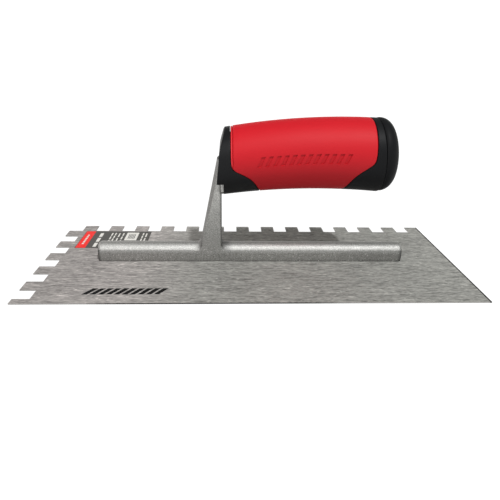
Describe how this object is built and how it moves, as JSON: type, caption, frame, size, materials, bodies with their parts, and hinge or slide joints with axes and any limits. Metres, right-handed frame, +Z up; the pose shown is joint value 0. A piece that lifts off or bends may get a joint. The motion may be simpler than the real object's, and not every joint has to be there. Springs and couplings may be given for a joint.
{
  "type": "notched trowel",
  "caption": "Flat steel trowel with square notches on two edges, riveted under a cast aluminium spine and post that carry a round two-colour soft-grip handle.",
  "frame": {"origin": "middle of the blade's underside, which is also the bottom centre of the object's box", "axes": "+X along the blade to its plain short edge, +Y to the notched long edge, +Z up to the handle"},
  "size_m": [0.28, 0.115, 0.0967],
  "materials": {
    "blade_steel": "ground along its length",
    "cast_aluminium": "as cast, fine sand grain",
    "rivet_steel": "ground flush",
    "core_plastic": "moulded",
    "black_plastic": "satin moulded",
    "red_rubber": "satin soft-touch",
    "screw_steel": "zinc plated",
    "label_paper": "coated print"
  },
  "bodies": {
    "root": {"blade": "blade_steel", "spine_casting": "cast_aluminium", "rivets": "rivet_steel", "handle_core": "core_plastic", "front_collar": "black_plastic", "grip_sleeve": "red_rubber", "rear_collar": "black_plastic", "end_cap": "black_plastic", "handle_screw": "screw_steel", "flat_washer": "screw_steel", "spring_washer": "screw_steel", "label": "label_paper"}
  },
  "joints": []
}
